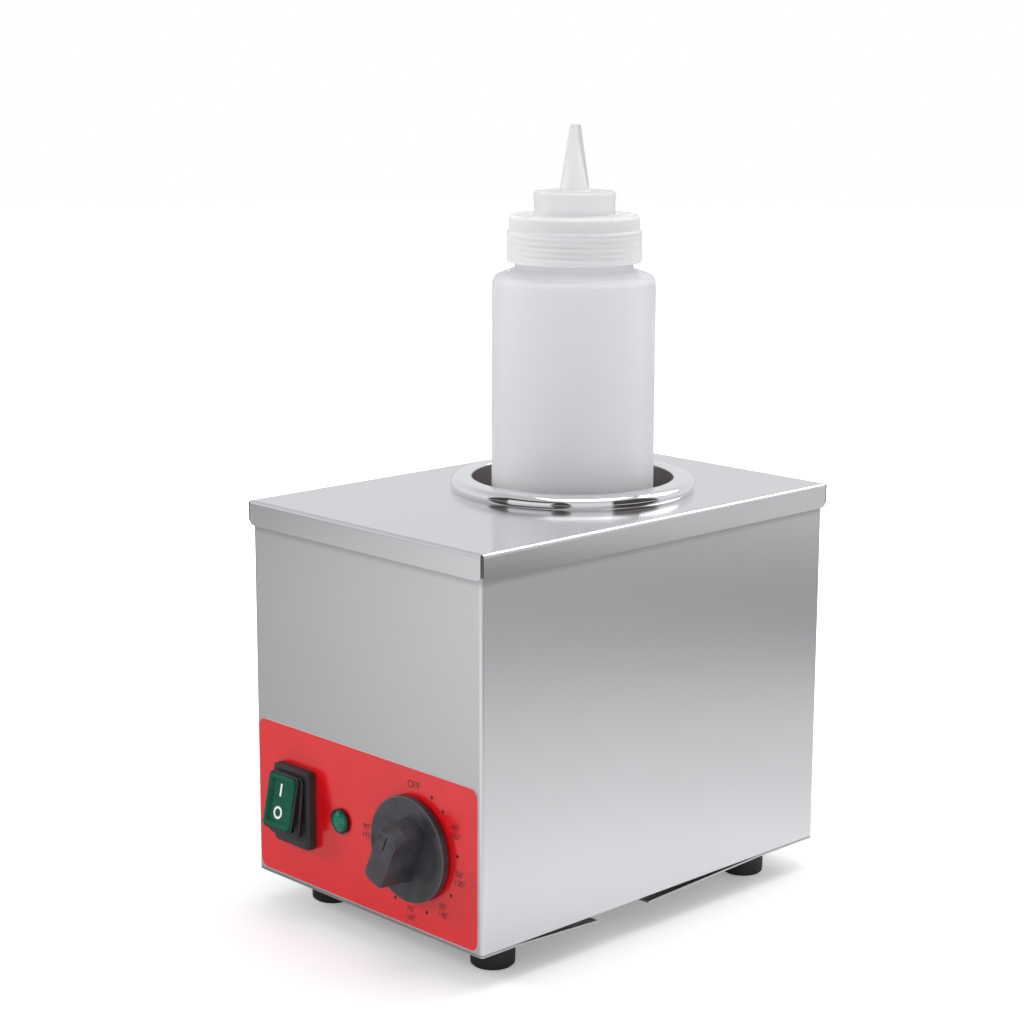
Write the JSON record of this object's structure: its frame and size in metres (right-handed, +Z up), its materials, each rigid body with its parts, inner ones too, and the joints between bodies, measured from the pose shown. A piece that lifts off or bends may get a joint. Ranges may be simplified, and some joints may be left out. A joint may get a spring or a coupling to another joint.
{
  "type": "countertop topping warmer",
  "caption": "Compact stainless counter warmer with a heated round well that holds a squeeze bottle of topping, with a temperature knob, a rocker switch and a pilot light.",
  "frame": {"origin": "on the surface that the feet stand on, under the middle of the whole object's bounding box", "axes": "+X to the right as seen from the controls, -Y towards the person using the controls, +Z up"},
  "size_m": [0.14, 0.2202, 0.3242],
  "materials": {
    "casing_steel": "satin stainless sheet",
    "overlay_red": "printed film, satin",
    "foot_rubber": "moulded",
    "zinc": "zinc plated",
    "well_steel": "polished stainless",
    "collar_steel": "plain steel",
    "heater_sheath": "heat-tinted sheath",
    "wool": "needled glass mat",
    "control_metal": "plated",
    "shaft_brass": "plain",
    "copper": "drawn copper",
    "knob_plastic": "moulded, fine grain",
    "black_plastic": "moulded",
    "boot_rubber": "moulded",
    "rocker_green": "gloss",
    "lens_green": "stippled lens",
    "block_nylon": "moulded",
    "wire_brown": "insulation",
    "wire_blue": "insulation",
    "wire_earth": "insulation",
    "wire_red": "insulation",
    "bottle_clear": "translucent polyethylene",
    "cap_clear": "translucent polyethylene"
  },
  "bodies": {
    "warmer": {"casing_wrap": "casing_steel", "rear_panel": "casing_steel", "top_cover": "casing_steel", "base_plate": "casing_steel", "control_overlay": "overlay_red", "foot_front_left": "foot_rubber", "foot_front_right": "foot_rubber", "foot_rear_left": "foot_rubber", "foot_rear_right": "foot_rubber", "foot_screws": "zinc", "foot_nuts": "zinc", "base_screws": "zinc", "rear_screws": "zinc", "cover_screws": "zinc", "well": "well_steel", "well_collar": "collar_steel", "collar_screws": "zinc", "band_heater": "heater_sheath", "heater_strap": "zinc", "strap_screw": "zinc", "insulation_sleeve": "wool", "thermal_cutout": "black_plastic", "cutout_bracket": "zinc", "thermostat_body": "control_metal", "thermostat_screws": "zinc", "thermostat_bulb": "copper", "bulb_clip": "zinc", "capillary": "copper", "switch_housing": "black_plastic", "switch_blades": "shaft_brass", "switch_boot": "boot_rubber", "pilot_lens": "lens_green", "pilot_body": "black_plastic", "pilot_nut": "zinc", "terminal_block": "block_nylon", "terminal_screws": "shaft_brass", "earth_stud": "shaft_brass", "earth_nuts": "zinc", "cord_bushing": "black_plastic", "bushing_nut": "black_plastic", "wire_live": "wire_brown", "wire_neutral": "wire_blue", "wire_control": "wire_brown", "wire_heater": "wire_brown", "wire_limit": "wire_brown", "wire_return": "wire_blue", "wire_earth": "wire_earth", "pilot_leads": "wire_red"},
    "knob": {"knob": "knob_plastic", "knob_clip": "zinc", "thermostat_shaft": "shaft_brass"},
    "rocker": {"rocker": "rocker_green", "boot_lip": "boot_rubber"},
    "boot_fold": {"boot_fold": "boot_rubber"},
    "bottle": {"bottle_body": "bottle_clear"},
    "cap": {"bottle_cap": "cap_clear"}
  },
  "joints": [
    {"name": "knob_turn", "type": "hinge", "parent": "warmer", "child": "knob", "pos_m": [0.0298, -0.09245, 0.0488], "axis": [0, 1, 0], "range_deg": [-25, 245]},
    {"name": "rocker_tip", "type": "hinge", "parent": "warmer", "child": "rocker", "pos_m": [-0.0414, -0.08625, 0.0488], "axis": [1, 0, 0], "range_deg": [0, 23.6]},
    {"name": "boot_fold_tip", "type": "hinge", "parent": "warmer", "child": "boot_fold", "pos_m": [-0.0414, -0.08625, 0.0488], "axis": [1, 0, 0], "range_deg": [0, 11.8]},
    {"name": "bottle_lift", "type": "slide", "parent": "warmer", "child": "bottle", "axis": [0, 0, 1], "range_m": [0, 0.115]},
    {"name": "cap_lift", "type": "slide", "parent": "bottle", "child": "cap", "axis": [0, 0, 1], "range_m": [0, 0.03]}
  ],
  "couplings": [
    {"joint": "boot_fold_tip", "follows": "rocker_tip", "ratio": 0.5}
  ]
}
